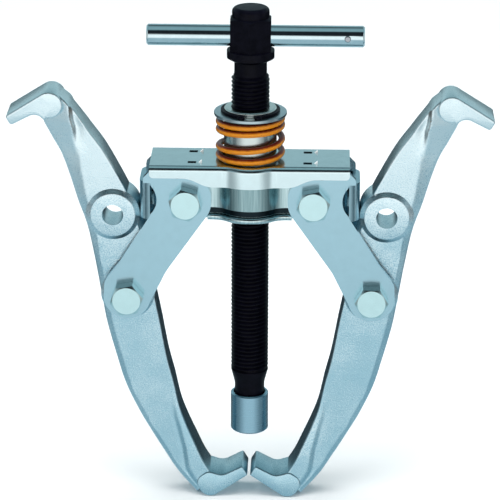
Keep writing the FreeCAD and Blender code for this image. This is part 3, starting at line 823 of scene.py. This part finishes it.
# ---- cap ----------------------------------------------------------------
# Corners (x, z, radius) of a punched tab, from the +X end of its slot.
TAB = [(0.8, 0.0, 0.0), (2.7, 0.0, 0.0), (2.7, 1.5, 0.2)]
TAB_HALF = 0.5
TAB_SINK = 0.3              # how far a tab's foot reaches into the cap
TAB_EDGE = 0.15
SLOT_PLACE = (27.3, 8.3)    # centre (x, y) of a slot in the cap, to each side of the middle
SLOT_HALF_LENGTH = 2.0


def cap_tabs():
    """Four small punched tabs, one beside each slot, with a painted highlight."""
    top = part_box("spring_cap")[1][2] / MM
    meshes = []
    for sign_x in (-1, 1):
        for sign_y in (-1, 1):
            start = sign_x * SLOT_PLACE[0] + SLOT_HALF_LENGTH
            corners = [(start + x, top + z - (TAB_SINK if z == 0 else 0), r) for x, z, r in TAB]
            tab = slab_mesh("tab", corners, TAB_HALF, TAB_EDGE, 2)
            tab.transform(Matrix.Translation((0, sign_y * SLOT_PLACE[1] * MM, 0)))
            meshes.append(tab)
    # painted highlight: the tabs are pale matt white
    piece("cap_tabs", joined("cap_tabs", meshes), MATERIALS["tab_painted_highlight"], "cap", "pressed_plate")


# ---- stage --------------------------------------------------------------
FLOOR_RADIUS = 6.0
TARGET = Vector((0, 0, 0.0926))
CAMERA_DISTANCE = 1.340
CAMERA_AZIMUTH = 1.6        # degrees
CAMERA_ELEVATION = 20.0
CAMERA_ROLL = 0.2
CAMERA_LENS = 200.88        # millimetres, like the sensor
CAMERA_SENSOR = 36.0
CAMERA_SEES = 20.0          # how far it sees
# Name, azimuth, elevation, distance, size and power of each light.
LIGHTS = [
    ("overhead", 0, 88, 2.4, 2.2, 72),
    ("front_left", -40, 42, 2.2, 1.4, 16),
    ("front_right", 45, 35, 2.2, 1.4, 12),
]


def direction(azimuth, elevation):
    """Unit vector towards a viewer; azimuth 0 stands in front of the object, on -Y."""
    a, e = math.radians(azimuth), math.radians(elevation)
    return Vector((math.sin(a) * math.cos(e), -math.cos(a) * math.cos(e), math.sin(e)))


def add_camera():
    """The camera, a long lens that looks at the middle of the object from a little above."""
    data = bpy.data.cameras.new("camera")
    data.lens = CAMERA_LENS
    data.sensor_width = CAMERA_SENSOR
    data.clip_end = CAMERA_SEES
    camera = placed("camera", data)
    towards = direction(CAMERA_AZIMUTH, CAMERA_ELEVATION)
    roll = Matrix.Rotation(math.radians(CAMERA_ROLL), 3, "Z")
    turn = towards.to_track_quat("Z", "Y").to_matrix() @ roll
    camera.matrix_world = Matrix.Translation(TARGET + towards * CAMERA_DISTANCE) @ turn.to_4x4()
    bpy.context.scene.camera = camera


def add_light(name, azimuth, elevation, distance, size, power):
    """Soft square light that lights the floor and painted pieces, and isn't mirrored in metal."""
    data = bpy.data.lights.new(name, "AREA")
    data.size = size
    data.energy = power
    light = placed(name, data)
    towards = direction(azimuth, elevation)
    light.matrix_world = (Matrix.Translation(TARGET + towards * distance)
                          @ towards.to_track_quat("Z", "Y").to_matrix().to_4x4())
    light.visible_glossy = False


def add_floor():
    """A plain pale disc under the object."""
    mesh = bpy.data.meshes.new("floor")
    with edited(mesh) as work:
        bmesh.ops.create_circle(work, cap_ends=True, radius=FLOOR_RADIUS, segments=TURN_SIDES)
    floor = placed("floor", mesh)
    floor.location.z = cad_bounds[0][2]
    floor.visible_glossy = False
    made, tree, bsdf = shader("floor", (0.92, 0.92, 0.92), 0.0, 0.7)
    tint(tree, bsdf, noise(tree, 6), (0.905, 0.905, 0.905), (0.925, 0.925, 0.925))
    bsdf.inputs["Specular IOR Level"].default_value = 0.1
    floor.data.materials.append(made)


# Colours of the surroundings, and where their bands lie: (degrees above the horizon, colour).
WHITE = (1.32, 1.33, 1.32)
PALE = (0.46, 0.62, 0.69)
GREY = (0.16, 0.21, 0.23)
LIGHT_TEAL = (0.56, 0.74, 0.78)
TEAL = (0.30, 0.46, 0.50)
DARK = (0.015, 0.02, 0.025)
FRONT_SKY = [(-90, PALE), (-27, PALE), (-17, WHITE), (8, WHITE), (24, DARK), (60, DARK), (72, TEAL),
             (90, TEAL)]
SIDE_SKY = [(-90, PALE), (-30, PALE), (-22, GREY), (-8, DARK), (0, DARK), (20, PALE), (50, DARK),
            (90, TEAL)]
REAR_SKY = [(-90, PALE), (-30, PALE), (-20, DARK), (0, DARK), (4, LIGHT_TEAL), (14, LIGHT_TEAL),
            (20, TEAL), (36, TEAL), (52, DARK), (90, TEAL)]
# How much of the front and rear bands shows: (degrees from the front, share), alike on both sides.
FRONT_SHARE = [(0, 1.0), (26, 1.0), (44, 0.5), (58, 0.3), (66, 0.0), (78, 0.0), (92, 0.8), (112, 0.0),
               (180, 0.0)]
REAR_SHARE = [(0, 0.0), (96, 0.0), (122, 1.0), (180, 1.0)]


def sky(tree, height, stops):
    """Colour by the height looked at, which runs from 0 straight down to 1 straight up."""
    return ramp(tree, height, [(math.sin(math.radians(up)) / 2 + 0.5, colour) for up, colour in stops])


def share(tree, facing, stops):
    """Share by azimuth, which runs from 0 at the front to 1 at the rear."""
    return ramp(tree, facing, [(around / 180, (amount, amount, amount)) for around, amount in stops])


def mixed(tree, factor, first, second):
    """Colour between two colours."""
    node = tree.nodes.new("ShaderNodeMix")
    node.data_type = "RGBA"
    tree.links.new(factor, node.inputs["Factor"])
    tree.links.new(first, node.inputs[6])                   # the sockets for colours
    tree.links.new(second, node.inputs[7])
    return node.outputs[2]


def add_world():
    """Studio surroundings as bands of light: bright in front and below, darker at the sides and behind."""
    world = bpy.data.worlds.new("studio")
    world.use_nodes = True
    bpy.context.scene.world = world
    tree = world.node_tree
    towards = axes(tree, "ShaderNodeTexCoord", "Generated")
    height = ranged(tree, towards["Z"], 0.0, 1.0, -1.0, 1.0)
    ahead = computed(tree, "MULTIPLY", towards["Y"], -1.0)
    azimuth = computed(tree, "ARCTAN2", computed(tree, "ABSOLUTE", towards["X"]), ahead)
    facing = ranged(tree, azimuth, 0.0, 1.0, 0.0, math.pi)
    front = mixed(tree, share(tree, facing, FRONT_SHARE), sky(tree, height, SIDE_SKY),
                  sky(tree, height, FRONT_SKY))
    whole = mixed(tree, share(tree, facing, REAR_SHARE), front, sky(tree, height, REAR_SKY))
    tree.links.new(whole, tree.nodes["Background"].inputs["Color"])


def add_stage():
    """Floor, surroundings, lights and camera."""
    add_floor()
    add_world()
    for light in LIGHTS:
        add_light(*light)
    add_camera()
    bpy.context.scene.view_settings.view_transform = "Standard"


# ---- assembly -----------------------------------------------------------
dress_cad_nodes()
forcing_screw()
compression_spring()
add_arms()
cap_tabs()
for side in ("left", "right"):
    threaded_bolt(side, "upper", "yoke")
    threaded_bolt(side, "lower", side + "_link")
soften_cad_nodes()
add_stage()
